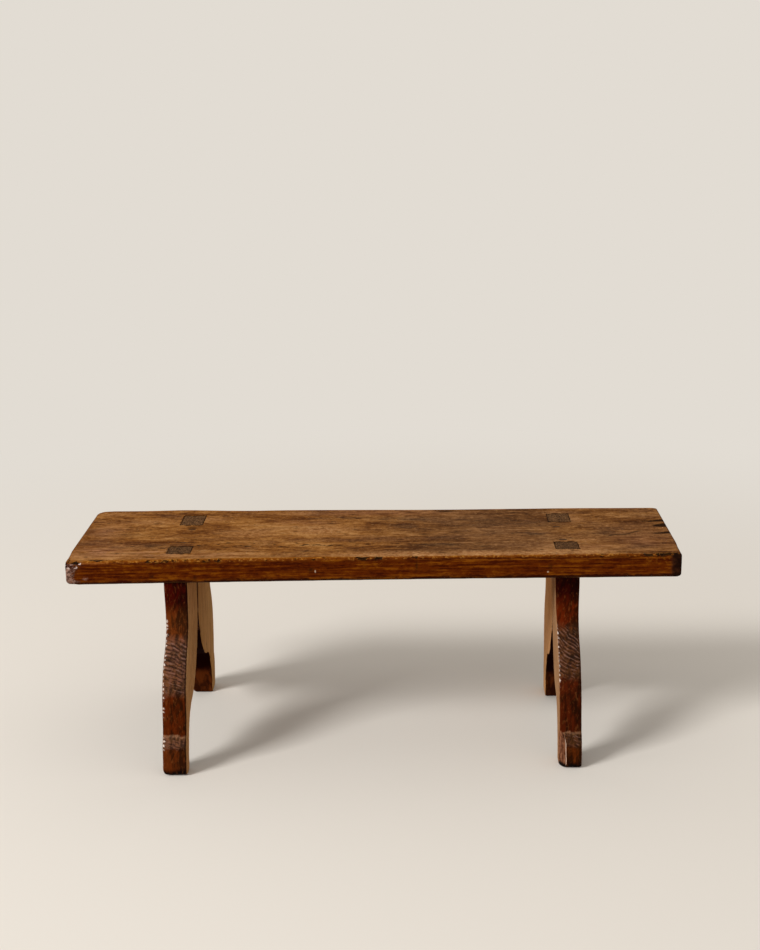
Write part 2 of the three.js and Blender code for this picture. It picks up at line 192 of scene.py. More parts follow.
# Small marks that the shader draws: the middle and the half sizes along X, Y and Z. First come the
# painted highlights on the front face, then the gnawed corner's crevices, painted highlights on its
# ridges, golden line and greyish spots.
FACE_GLINTS = (
    (-90.5, -131.5, 317.7, 1.2, 20, 2.6), (268.2, -122.5, 312.3, 1.5, 20, 1.5),
)
CORNER_CREVICES = (
    (-456.5, -139, 336.6, 6.6, 10, 2.4), (-470, -140, 337.8, 3.5, 10, 1.6),
    (-427, -137.5, 339.6, 13, 5, 1.4), (-465.5, -140, 331.6, 3, 9, 1),
)
# Painted highlights on the ridges of the gnawed corner.
CORNER_GLINTS = (
    (-470, -140, 329.4, 2.6, 9, 0.9), (-468.1, -140, 328.6, 1.2, 9, 1.2),
    (-458.8, -140, 329.2, 2.2, 9, 0.8), (-456.9, -140, 330.4, 1.2, 9, 1.2),
    (-452.8, -140, 334.6, 2, 9, 0.9), (-451.2, -140, 335.6, 1.1, 9, 1.2),
    (-473.7, -140, 333, 1, 9, 1.4),
)
CORNER_GOLD = ((-430, -140, 336.2, 26, 10, 1.3),)
CORNER_GREY = (
    (-444.2, -140, 311.5, 5.2, 20, 3), (-460, -140, 307.5, 6, 20, 2),
)
# The right front corner gets as dark as end grain between these places along X.
DARK_CORNER_X = (0.455, 0.462)
# A scratch wanders over the top, from one place along X and Y to another.
SCRATCH_FROM = (0.372, -0.027)
SCRATCH_TO = (0.430, -0.001)
SCRATCH_HALF = 0.0042
# A row of short dark dashes runs along the top: its place along Y, half its width and its ends along X.
DASH_ROW_Y = -0.062
DASH_ROW_HALF = 0.018
DASH_ROW_X = (-0.40, 0.16)
# The top gets dull and dark between the first two places along X, and half as dull between the second
# two: partly the wood's own tone and partly painted shade.
SHADED_DULL_X = (-0.08, 0.18)
LESS_SHADED_DULL_X = (0.22, 0.34)
# Right of the first two places along X the top's wood reaches further over the edge, and right of the
# second two a dark and a golden line run under it.
OVER_EDGE_X = (-0.08, 0.02)
EDGE_LINES_X = (0.02, 0.12)
# The mark for the edge of the seat counts from this far in on top to this far down the side.
RIM_IN = 0.010
RIM_DOWN = 0.040
# The seat's sides lie within this distance of its box.
SIDE_BAND = 0.034


def colour(red, green, blue):
    """A picture's colour, turned into the linear values that shaders take."""
    values = np.array((red, green, blue)) / 255
    linear = np.where(values <= 0.04045, values / 12.92, ((values + 0.055) / 1.055) ** 2.4)
    return (*linear.tolist(), 1.0)


def ease(low, high, values):
    """0 below low, 1 above high, and a smooth rise between. Low may be above high."""
    share = np.clip((values - low) / (high - low), 0, 1)
    return share * share * (3 - 2 * share)


def lumps(places, size, seed):
    """Smooth random values from 0 to 1, with lumps of this size along X, Y and Z."""
    table = np.random.default_rng(seed).random((LATTICE,) * 3)
    grid = places / np.asarray(size, float)
    base = np.floor(grid).astype(int)
    part = grid - base
    part = part * part * (3 - 2 * part)
    total = np.zeros(len(places))
    for corner in np.ndindex(2, 2, 2):
        weight = np.prod(np.where(corner, part, 1 - part), axis=1)
        column, row, layer = ((base + corner) % LATTICE).T
        total += weight * table[column, row, layer]
    return total


def vectors(items, name):
    """One vector of each item, such as each vertex's place or each face's normal."""
    values = np.empty(len(items) * 3, np.float32)
    items.foreach_get(name, values)
    return values.reshape(-1, 3)


def packed_places(node):
    """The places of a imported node's vertices."""
    return np.array([v.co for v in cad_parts[node].data.vertices])


class Skin:
    """A worked piece's vertices: where they are, which way they face and what is marked on them."""

    def __init__(self, piece):
        self.mesh = piece.data
        self.read()

    def read(self):
        self.places = vectors(self.mesh.vertices, "co").astype(float)
        self.normals = vectors(self.mesh.vertex_normals, "vector").astype(float)

    def even_out(self, times, kept):
        """Moves each vertex that isn't kept halfway to its neighbours' middle, a few times over."""
        edges = np.empty(len(self.mesh.edges) * 2, np.int32)
        self.mesh.edges.foreach_get("vertices", edges)
        first, second = edges.reshape(-1, 2).T
        count = np.bincount(edges, minlength=len(self.places))
        for _ in range(times):
            for axis in range(3):
                values = self.places[:, axis]
                total = np.bincount(first, values[second], len(values))
                total += np.bincount(second, values[first], len(values))
                self.places[:, axis] = np.where(kept, values, (values + total / count) / 2)

    def sink(self, depth):
        """Moves each vertex into the wood by its own depth."""
        self.places -= self.normals * depth[:, None]

    def store(self):
        """Writes the places back to the mesh and reads how it faces now."""
        self.mesh.vertices.foreach_set("co", self.places.astype(np.float32).ravel())
        self.mesh.update()
        self.read()

    def rough(self, size, seed):
        """Lumps on lumps from 0 to 1, each layer half as large and as high as the last."""
        total, height, whole = 0, 1.0, 0.0
        for layer in range(ROUGH_LAYERS):
            total = total + height * lumps(self.places, np.asarray(size) / 2**layer, seed + layer)
            whole += height
            height /= 2
        return total / whole

    def mark(self, **marks):
        """Keeps values from 0 to 1 under names that a material can ask for."""
        for name, values in marks.items():
            attribute = self.mesh.attributes.new(name, "FLOAT", "POINT")
            attribute.data.foreach_set("value", np.clip(values, 0, 1).astype(np.float32))


def new_object(name, data):
    """An object with this data, put into the scene."""
    made = bpy.data.objects.new(name, data)
    bpy.context.scene.collection.objects.link(made)
    return made


def worked_copy(node, face, stretch=(1, 1, 1)):
    """A CAD node's mesh in small even faces, which stands for the node and can be worn."""
    piece = new_object(node + "_worn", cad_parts[node].data.copy())
    shrink = Matrix.Diagonal((*(1 / s for s in stretch), 1))
    piece.data.transform(shrink)
    remesh = piece.modifiers.new("even faces", "REMESH")
    remesh.mode = "VOXEL"
    remesh.voxel_size = face
    made = bpy.data.meshes.new_from_object(piece.evaluated_get(bpy.context.evaluated_depsgraph_get()))
    piece.modifiers.clear()
    piece.data = made
    made.transform(shrink.inverted())
    made.shade_smooth()
    made.materials.clear()
    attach(piece, "root")
    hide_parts(node)
    return piece


def tenon_ends(node):
    """The ends of a leg's two tenons, each as low X, high X, low Y and high Y."""
    places = packed_places(node)
    crown = places[places[:, 2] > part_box(node)[1].z - CROWN_BAND]
    ends = []
    for half in (crown[crown[:, 1] < 0], crown[crown[:, 1] > 0]):
        ends.append((half[:, 0].min(), half[:, 0].max(), half[:, 1].min(), half[:, 1].max()))
    return ends


TENONS = [end for leg in LEGS for end in tenon_ends(leg)]


def off_tenons(places):
    """How far each place is from the nearest tenon, seen from above."""
    x, y, _ = places.T
    nearest = np.full(len(places), np.inf)
    for x0, x1, y0, y1 in TENONS:
        out_x = np.maximum(np.maximum(x0 - x, x - x1), 0)
        out_y = np.maximum(np.maximum(y0 - y, y - y1), 0)
        nearest = np.minimum(nearest, np.hypot(out_x, out_y))
    return nearest


def square_up(skin, top):
    """Brings the wood around and on the tenons back to a flat top with sharp corners."""
    near = off_tenons(skin.places) < CRISP_REACH
    high = skin.places[:, 2] > top - CRISP_DEPTH
    skin.places[near & high, 2] = top
    return near & (skin.places[:, 2] > top - 2 * CRISP_DEPTH)


def spots(places, table):
    """How strongly each place lies in the nearest of a table of soft spots."""
    strength = np.zeros(len(places))
    for *sizes, peak in table:
        middle, half = np.reshape(sizes, (2, 2)) / MM_PER_METRE
        away = (((places - middle) / half) ** 2).sum(axis=1)
        strength = np.maximum(strength, peak * np.exp(-away))
    return strength


class Nodes:
    """A node tree. Each call adds a node and gives back its output."""

    def __init__(self, tree):
        self.tree = tree
        tree.nodes.clear()

    def plug(self, socket, value):
        """A socket takes another node's output, a plain value or a colour as a picture shows it."""
        if isinstance(value, bpy.types.NodeSocket):
            self.tree.links.new(value, socket)
        elif socket.type == "RGBA" and len(value) == 3:
            socket.default_value = colour(*value)
        else:
            socket.default_value = value

    def add(self, kind, inputs, output=0, **settings):
        """A node of this kind, with its settings and inputs."""
        node = self.tree.nodes.new("ShaderNode" + kind)
        for name, value in settings.items():
            setattr(node, name, value)
        for name, value in inputs.items():
            self.plug(node.inputs[name], value)
        return node.outputs[output]

    def end(self, kind, shader):
        """Shows this shader as what the whole tree makes."""
        output = self.tree.nodes.new("ShaderNodeOutput" + kind)
        self.plug(output.inputs["Surface"], shader)

    def sum(self, first, second, kind="ADD"):
        return self.add("Math", {0: first, 1: second}, operation=kind)

    def seen(self):
        """1 where a ray comes from the camera straight, mirrored or through something clear."""
        path = self.tree.nodes.new("ShaderNodeLightPath").outputs
        direct = self.sum(path["Is Camera Ray"], path["Is Glossy Ray"], "MAXIMUM")
        return self.sum(direct, path["Is Transmission Ray"], "MAXIMUM")


class Finish(Nodes):
    """The node tree of one procedural material."""

    def __init__(self, name):
        self.material = bpy.data.materials.new(name)
        self.material.use_nodes = True
        super().__init__(self.material.node_tree)
        self.places = self.add("TexCoord", {}, "Object")
        self.bumps = {}

    def marked(self, name):
        """What the mesh keeps under this name."""
        return self.add("Attribute", {}, "Fac", attribute_name=name)

    def along(self, axis):
        """The place along one axis, in metres."""
        return self.add("SeparateXYZ", {0: self.places}, axis)

    def vector(self, kind, value, other=(0, 0, 0)):
        """One step of vector arithmetic."""
        output = "Value" if kind == "LENGTH" else "Vector"
        return self.add("VectorMath", {0: value, 1: other}, output, operation=kind)

    def drawn(self, table, fray):
        """1 in the middle of each mark of a table, and 0 beyond its frayed border."""
        strongest = 0.0
        for sizes in table:
            middle, half = np.reshape(sizes, (2, 3)) / MM_PER_METRE
            away = self.vector("LENGTH", self.spread(half, shift=middle))
            mark = self.steps(self.sum(away, self.stray(fray, 4.0)), 1.15, 0.55)
            strongest = self.sum(strongest, mark, "MAXIMUM")
        return strongest

    def spread(self, size, turn=(0, 0, 0), shift=(0, 0, 0)):
        """Object places counted in lengths of the given size, turned and shifted."""
        inputs = {"Vector": self.places, "Location": shift, "Rotation": turn, "Scale": size}
        return self.add("Mapping", inputs, vector_type="TEXTURE")

    def noise(self, size, detail=4, roughness=0.55, warp=0.0, turn=(0, 0, 0), shift=(0, 0, 0)):
        """Random lumps of the given size in millimetres along each axis, about 0.3 to 0.7."""
        places = self.spread(np.array(size) / MM_PER_METRE, turn, shift)
        looks = {"Scale": 1, "Detail": detail, "Roughness": roughness, "Distortion": warp}
        return self.add("TexNoise", {"Vector": places, **looks}, "Fac")

    def steps(self, value, low=0.38, high=0.62):
        """A smooth change from 0 at low to 1 at high, by default over the middle of noise."""
        inputs = {"Value": value, "From Min": low, "From Max": high}
        return self.add("MapRange", inputs, interpolation_type="SMOOTHSTEP")

    def times(self, first, *others):
        """All the values multiplied."""
        product = first
        for other in others:
            product = self.sum(product, other, "MULTIPLY")
        return product

    def stray(self, value, size):
        """A random value turned into one that strays from 0 by about a tenth of the size."""
        return self.times(self.sum(value, 0.5, "SUBTRACT"), size)

    def figure(self, *parts):
        """Random values added up round 0.5, each with its own weight."""
        total = 0.5
        for value, weight in parts:
            total = self.sum(total, self.stray(value, weight))
        return total

    def band(self, value, low, full, still_full, high):
        """0 below low and above high, and 1 between the two middle values."""
        return self.times(self.steps(value, low, full), self.steps(value, high, still_full))

    def mix(self, share, below, above, kind="MIX"):
        """Two colours laid one over the other, with the upper one's share."""
        # This node has its inputs for colours after those for numbers and vectors.
        inputs = {0: share, 6: below, 7: above}
        return self.add("Mix", inputs, 2, data_type="RGBA", blend_type=kind)

    def lay(self, below, above, *shares):
        """One colour laid over another, with all its shares multiplied."""
        return self.mix(self.times(*shares), below, above)

    def bands(self, value, stops):
        """Colours that follow one another at the given values, from 0 to 1."""
        node = self.tree.nodes.new("ShaderNodeValToRGB")
        self.plug(node.inputs[0], value)
        elements = node.color_ramp.elements
        while len(elements) < len(stops):
            elements.new(1)
        for element, (place, tone) in zip(elements, stops):
            element.position = place
            element.color = colour(*tone)
        return node.outputs[0]

    def relief(self, heights):
        """Bumps laid on bumps: each is a value and the depth in metres of its step from 0 to 1."""
        for value, depth in heights:
            bump = self.add("Bump", {"Distance": depth, "Height": value, **self.bumps})
            self.bumps = {"Normal": bump}

    def finish(self, tone, roughness, shine):
        looks = {"Base Color": tone, "Roughness": roughness, "Specular IOR Level": shine}
        self.end("Material", self.add("BsdfPrincipled", {**looks, **self.bumps}))
        return self.material


# The seat plank


def front_line(skin):
    """The front face's Y as a function of X, read from the seat before it is worn."""
    ahead = (skin.normals[:, 1] < -0.95) & (skin.places[:, 1] < SEAT_LOW.y + SIDE_BAND)
    return np.polynomial.Polynomial.fit(skin.places[ahead, 0], skin.places[ahead, 1], 2)


def in_from_rim(skin, axis, chosen):
    """How far each place lies in from the nearest chosen face, seen along an axis."""
    seen = skin.places.copy()
    seen[:, axis] = 0
    rim = seen[chosen & (np.abs(skin.normals[:, axis]) < 0.3)]
    tree = kdtree.KDTree(len(rim))
    for index, place in enumerate(rim):
        tree.insert(place, index)
    tree.balance()
    return np.array([tree.find(place)[2] for place in seen])


def by_the_sides(skin):
    """The places near the outline of the seat, away from the tenons and nails."""
    x, y, _ = skin.places.T
    ends = (x < SEAT_LOW.x + SIDE_BAND) | (x > SEAT_HIGH.x - SIDE_BAND)
    return ends | (y < SEAT_LOW.y + SIDE_BAND) | (y > SEAT_HIGH.y - SIDE_BAND)


def front_chips(skin, behind, below):
    """How deep the chips and the wear go along the front top edge, and where the chips are."""
    x = skin.places[:, 0]
    chipped = np.zeros(len(x))
    for place, length, depth in np.array(FRONT_CHIPS) / MM_PER_METRE:
        bite = np.exp(-(((x - place) / (length / 2)) ** 2)) * depth
        chipped = np.maximum(chipped, bite)
    ragged = ease(0.35, 0.6, skin.rough((0.009, 0.006, 0.006), 11))
    nearby = ease(0.007, 0.001, np.hypot(behind * 1.5, below))
    patchy = ease(0.35, 0.75, skin.rough((0.05, 0.03, 0.03), 5))
    worn = ARRIS_WEAR * patchy + LEFT_END_WEAR * ease(*LEFT_END, x)
    return nearby * (chipped * ragged + worn), ease(0.0004, 0.0020, chipped)


def gnawed_corner(skin, behind):
    """How far a place lies in the damaged front left corner, and how deep it is bitten."""
    x, _, z = skin.places.T
    near = np.hypot((x - SEAT_LOW.x) / CORNER_REACH[0], behind / CORNER_REACH[1])
    corner = ease(1.0, 0.35, near)
    upper = ease(*CORNER_UPPER, z)
    lumpy = ease(0.4, 0.7, skin.rough((0.010, 0.010, 0.008), 21))
    return corner, corner * CORNER_BITE * lumpy * (0.3 + 0.7 * upper)


def swell(skin, behind):
    """Brings the sides and ends of the seat back out, and rounds the corners of its front face."""
    x, _, z = skin.places.T
    up = skin.normals[:, 2]
    outline = by_the_sides(skin) | (up < -0.5)
    amount = SWELL + SWELL_RIGHT * ease(*RIGHT_HALF, x)
    skin.sink(-amount * outline * ease(0.9, 0.4, up))
    near = ease(*ROUND_FADE, behind)
    for side, out, size in zip((-1, 1), END_SWELL, LOWER_ROUNDS):
        skin.places[:, 0] += side * out * ease(*END_PART, x * side)
        for gap, reach in ((z - UNDERSIDE, size), (SEAT_TOP - z, UPPER_ROUND)):
            lift = np.clip(1 - gap / reach, 0, 1)
            allowed = END_LIMIT - reach * (1 - np.sqrt(1 - lift**2)) * near
            skin.places[:, 0] -= side * np.maximum(x * side - allowed, 0)


def end_checks(skin):
    """Where the cracks in the right end are open, and how deep."""
    x, y, _ = skin.places.T
    cracked = np.zeros(len(x))
    depth = np.zeros(len(x))
    for place, end, half, down in np.array(END_CHECKS) / MM_PER_METRE:
        wander = CRACK_WANDER * (lumps(skin.places, (0.010, 1, 1), 31) - 0.5)
        narrow = half * (0.5 + 0.5 * ease(end, SEAT_HIGH.x, x))
        across = np.abs(y - place - wander)
        inside = ease(end - 0.002, end + 0.005, x)
        cracked = np.maximum(cracked, ease(narrow, narrow * 0.7, across) * inside)
        depth = np.maximum(depth, ease(narrow * 0.8, narrow * 0.2, across) * inside * down)
    return cracked, depth


def scratch(x, y):
    """How strongly each place lies on the scratch that wanders over the top."""
    share = (x - SCRATCH_FROM[0]) / (SCRATCH_TO[0] - SCRATCH_FROM[0])
    line = SCRATCH_FROM[1] + (SCRATCH_TO[1] - SCRATCH_FROM[1]) * share + 0.003 * np.sin(9 * share)
    ends = ease(-0.05, 0.1, share) * ease(1.05, 0.9, share)
    return ease(SCRATCH_HALF, SCRATCH_HALF / 3, np.abs(y - line)) * ends


def wear_seat(piece):
    """Dishes the top, wears and chips the front edge, waves the rear edge and opens the end cracks."""
    skin = Skin(piece)
    front = front_line(skin)
    rim = (SEAT_TOP - skin.places[:, 2]) - in_from_rim(skin, 2, by_the_sides(skin))
    kept = square_up(skin, SEAT_TOP)
    skin.even_out(EVEN_OUT_TIMES, kept)
    skin.store()
    x, y, z = skin.places.T
    behind, below = y - front(x), SEAT_TOP - z
    top = ease(0.5, 0.95, skin.normals[:, 2])
    dish = SEAT_DISH * skin.rough((0.26, 0.07, 1.0), 1)
    dish = dish * ease(0.0, 0.02, off_tenons(skin.places)) * ease(-0.001, -0.025, rim)
    ripple = SEAT_RIPPLE * skin.rough((0.05, 0.012, 0.012), 2)
    chip_depth, chipped = front_chips(skin, behind, below)
    corner, bite = gnawed_corner(skin, behind)
    cracked, open_depth = end_checks(skin)
    skin.sink((top * dish + ripple) * ~kept + chip_depth + bite)
    skin.places[:, 2] -= open_depth * (top > 0.5)
    swell(skin, behind)
    near_back = ease(SEAT_HIGH.y - REAR_WAVES_REACH, SEAT_HIGH.y, y)
    for place, out, width in np.array(REAR_WAVES) / MM_PER_METRE:
        skin.places[:, 1] += near_back * out * np.exp(-(((x - place) / width) ** 2))
    skin.places[:, 2] = np.minimum(skin.places[:, 2], SEAT_TOP)
    skin.store()
    skin.mark(
        rim=(rim + RIM_IN) / (RIM_IN + RIM_DOWN),
        chip=chipped * ease(0.012, 0.006, behind),
        crack=cracked,
        corner=corner,
    )
    mark_seat(skin, behind)


def mark_seat(skin, behind):
    """Notes on the seat's mesh where its underside, ends, stains, spots and grime are."""
    x, y, _ = skin.places.T
    up = skin.normals[:, 2]
    on_top = up > 0.3
    above = skin.places[:, :2]
    dark_corner = ease(*DARK_CORNER_X, x) * (behind < 0.02)
    end = np.maximum(ease(0.06, 0.30, np.abs(skin.normals[:, 0])), dark_corner)
    ahead = (skin.normals[:, 1] < -0.7) & (behind < 0.01)
    on_face = spots(skin.places[:, [0, 2]], FACE_DARK_SPOTS) * ahead
    dark = np.maximum(spots(above, TOP_DARK_SPOTS), 0.8 * scratch(x, y)) * on_top
    row = ease(DASH_ROW_HALF, 0, np.abs(y - DASH_ROW_Y)) * on_top
    skin.mark(
        under=ease(-0.4, -0.8, up),
        end=end * ease(0.97, 0.80, np.abs(up)),
        stain=spots(above, TOP_STAINS) * on_top,
        gold=spots(above, TOP_GOLD) * on_top,
        reddish=spots(above, TOP_REDDISH) * on_top,
        dark=np.maximum(dark, on_face),
        row=row * ease(DASH_ROW_X[0] - 0.02, DASH_ROW_X[0], x) * ease(DASH_ROW_X[1], 0, x),
    )


# The top's colours, from the darkest to the lightest, at its warm left part and its dull right part,
# which is partly painted shade.
TOP_STOPS = (0.26, 0.40, 0.50, 0.60, 0.74)
TOP_WARM = ((78, 40, 13), (110, 65, 26), (134, 85, 38), (154, 104, 52), (180, 130, 76))
TOP_SHADED_DULL = ((58, 34, 17), (86, 53, 28), (108, 70, 38), (126, 85, 49), (152, 109, 69))


def seat_top(f, grain, medium, broad):
    """The worn top: golden brown and fine in grain, duller and darker to the right partly by painted
    shade, with stains and dashes.
    """
    thread = f.noise((34, 6.6, 6), 4, 0.65, 0.3, shift=(0.1, 0.3, 0))
    figure = f.figure((grain, 0.62), (thread, 0.75), (medium, 0.55), (broad, 0.75))
    warm = f.bands(figure, list(zip(TOP_STOPS, TOP_WARM)))
    shaded_dull = f.bands(figure, list(zip(TOP_STOPS, TOP_SHADED_DULL)))
    along = f.along("X")
    share = f.sum(f.steps(along, *SHADED_DULL_X), f.times(f.steps(along, *LESS_SHADED_DULL_X), 0.5), "SUBTRACT")
    # The dull right part is partly the wood's own tone and partly painted shade.
    top = f.mix(share, warm, shaded_dull)
    haze = f.steps(f.noise((110, 34, 30), 3, 0.5, 0.4, shift=(0.2, 0.5, 0)), 0.48, 0.62)
    hazy = f.mix(f.steps(grain), (84, 55, 33), (138, 97, 65))
    top = f.lay(top, hazy, haze, 0.32)
    grey = f.mix(f.steps(grain), (58, 40, 27), (102, 74, 50))
    top = f.lay(top, grey, f.marked("stain"), f.steps(medium, 0.64, 0.42))
    golden = f.mix(f.steps(grain), (146, 94, 50), (192, 142, 92))
    top = f.lay(top, golden, f.marked("gold"), f.steps(medium, 0.26, 0.44), 0.95)
    reddish = f.mix(f.steps(thread), (106, 64, 40), (156, 108, 76))
    top = f.lay(top, reddish, f.marked("reddish"), f.steps(medium, 0.30, 0.50), 0.8)
    freckles = f.steps(f.noise((4.6, 7, 4), 2, 0.5), 0.58, 0.70)
    top = f.lay(top, (74, 40, 16), freckles, 0.3)
    flakes = f.steps(f.noise((6, 7.5, 4), 2, 0.5, shift=(0.5, 0.2, 0)), 0.60, 0.72)
    top = f.lay(top, (190, 142, 90), flakes, 0.22)
    row = f.marked("row")
    dashes = f.noise((15, 7, 6), 2, 0.5, shift=(0.3, 0.1, 0))
    dashes = f.steps(f.sum(dashes, f.times(row, 0.05)), 0.64, 0.70)
    return f.lay(top, (42, 24, 12), dashes, f.sum(0.5, f.times(row, 0.45)))


# The colours from the worn wood at the seat's edge down its polished side, by the mark for the edge.
SIDE_TONES = (
    (0.08, (136, 86, 38)), (0.15, (128, 74, 18)), (0.21, (112, 56, 8)),
    (0.27, (96, 44, 5)), (0.34, (86, 34, 3)), (0.42, (88, 34, 2)),
    (0.56, (94, 39, 2)), (0.78, (88, 34, 2)), (0.83, (104, 50, 7)),
    (0.875, (58, 19, 4)), (0.93, (20, 7, 4)),
)
# The dark and the golden line under the edge: where each lies by that mark, and its colour.
EDGE_LINES = (((0.26, 0.285, 0.29, 0.315), (50, 14, 2)), ((0.31, 0.33, 0.35, 0.38), (132, 74, 14)))


def seat_side(f, top, grain, streak, blotch):
    """The worn golden edge with its dark chips, and the polished orange side with dark red streaks."""
    rim = f.sum(f.marked("rim"), f.stray(f.noise((12, 12, 12), 4, 0.6), 0.14))
    side = f.bands(rim, SIDE_TONES)
    figure = f.figure((streak, 1.25), (blotch, 0.6), (grain, 0.6))
    below_edge = f.steps(rim, 0.16, 0.30)
    side = f.lay(side, (52, 8, 1), f.steps(figure, 0.50, 0.32), 0.80, below_edge)
    side = f.lay(side, (134, 75, 10), f.steps(figure, 0.52, 0.72), 0.75)
    later = f.times(f.steps(f.along("X"), *OVER_EDGE_X), 0.07)
    wood = f.mix(f.steps(f.sum(rim, later, "SUBTRACT"), 0.07, 0.15), top, side)
    right = f.steps(f.along("X"), *EDGE_LINES_X)
    for across, tone in EDGE_LINES:
        wood = f.lay(wood, tone, f.band(rim, *across), f.steps(streak, 0.42, 0.52), right, 0.6)
    chip = f.marked("chip")
    crumbs = f.noise((5.2, 5.2, 3.6), 4, 0.65, shift=(0.1, 0, 0))
    crumbly = f.sum(crumbs, f.times(chip, 0.10))
    golden = f.times(f.band(rim, 0.11, 0.16, 0.24, 0.31), f.steps(crumbly, 0.53, 0.61))
    wood = f.lay(wood, (170, 116, 48), golden, 0.7)
    flecks = f.times(f.band(rim, 0.27, 0.33, 0.46, 0.60), chip, f.steps(crumbs, 0.50, 0.60))
    wood = f.lay(wood, (138, 84, 20), flecks, 0.45)
    gaps = f.noise((8, 8, 3), 4, 0.7, 0.3, shift=(0.4, 0, 0))
    likely = f.sum(gaps, f.times(chip, 0.30))
    chips = f.times(f.band(rim, 0.12, 0.17, 0.26, 0.33), f.steps(likely, 0.59, 0.65))
    return f.lay(wood, (16, 6, 3), chips, 0.95)


def tenon_outlines(f, fray):
    """The dirt in the joint round each tenon, wider in front and behind than at the sides."""
    nearest = 9.0
    for x0, x1, y0, y1 in TENONS:
        off = f.vector("SUBTRACT", f.places, ((x0 + x1) / 2, (y0 + y1) / 2, 0))
        out = f.vector("SUBTRACT", f.vector("ABSOLUTE", off), ((x1 - x0) / 2, (y1 - y0) / 2, 0))
        reaches = f.vector("MULTIPLY", f.vector("MAXIMUM", out), (1 / OUTLINE_X, 1 / OUTLINE_Y, 0))
        nearest = f.sum(nearest, f.vector("LENGTH", reaches), "MINIMUM")
    ring = f.steps(f.sum(nearest, f.stray(fray, 5.0)), 1.1, 0.5)
    return f.times(ring, f.steps(f.along("Z"), SEAT_TOP - 0.003, SEAT_TOP - 0.001))


def worn_corner(f, wood):
    """The gnawed corner: bare greyish wood with a ragged border, dark crevices and painted highlights
    on its ridges.
    """
    lumpy = f.noise((8, 8, 6), 4, 0.65, 0.4, shift=(0.2, 0.1, 0))
    fleck = f.noise((3.6, 3.6, 3.6), 4, 0.65, 0.3)
    bare = f.mix(f.steps(fleck, 0.40, 0.60), (82, 58, 48), (160, 128, 114))
    along = f.steps(f.sum(f.along("X"), f.stray(lumpy, 0.06)), *CORNER_BARE_X)
    below = f.steps(f.sum(f.along("Z"), f.stray(lumpy, 0.04)), *CORNER_BARE_Z)
    near = f.steps(f.sum(f.marked("corner"), f.stray(lumpy, 2.5)), 0.35, 0.55)
    wood = f.lay(wood, bare, along, below, near, 0.9)
    wood = f.lay(wood, bare, f.drawn(CORNER_GREY, fleck), 0.6)
    wood = f.lay(wood, (146, 86, 34), f.drawn(CORNER_GOLD, lumpy), 0.6)
    wood = f.lay(wood, (26, 15, 10), f.drawn(CORNER_CREVICES, lumpy), 0.95)
    # Painted highlights where the light catches the gnawed corner's ridges.
    return f.lay(wood, (222, 200, 192), f.drawn(CORNER_GLINTS, lumpy), 0.85)


def seat_finish(name, roughness, shine):
    """Waxed wood with its grain along X, matte on the worn top and polished on the edges."""
    f = Finish(name)
    fibre = f.noise((50, 1.1, 1.1), 5, 0.6)
    grain = f.noise((8.5, 6.6, 3.5), 6, 0.75, 0.3)
    medium = f.noise((45, 20, 12), 4, 0.6, 0.5)
    broad = f.noise((220, 55, 50), 3, 0.5, 0.4, shift=(0.4, 0.2, 0))
    streak = f.noise((70, 20, 3.2), 5, 0.6, 0.3)
    blotch = f.noise((20, 20, 12), 4, 0.6, 0.5)
    wood = seat_side(f, seat_top(f, grain, medium, broad), grain, streak, blotch)
    rough_sawn = f.mix(f.steps(medium), (52, 34, 22), (96, 66, 42))
    wood = f.mix(f.marked("under"), wood, rough_sawn)
    end_wood = f.mix(f.steps(blotch, 0.40, 0.62), (22, 10, 6), (66, 38, 22))
    wood = f.lay(wood, end_wood, f.marked("end"), f.steps(f.marked("rim"), 0.04, 0.15), 0.95)
    wood = worn_corner(f, wood)
    dark = f.sum(f.marked("crack"), f.marked("dark"), "MAXIMUM")
    dark = f.sum(dark, f.times(tenon_outlines(f, grain), 0.9), "MAXIMUM")
    wood = f.lay(wood, (26, 13, 7), dark, 0.92)
    # Painted highlights: pale specks where the light glints on the front face.
    wood = f.lay(wood, (220, 200, 176), f.drawn(FACE_GLINTS, 0.5), 0.6)
    wood = f.lay(wood, (44, 20, 8), f.steps(fibre, 0.50, 0.34), 0.3)
    f.relief(((medium, 0.0006), (grain, 0.0007), (fibre, 0.0003)))
    return f.finish(wood, f.sum(roughness, f.times(grain, 0.2)), shine)


# The slab legs

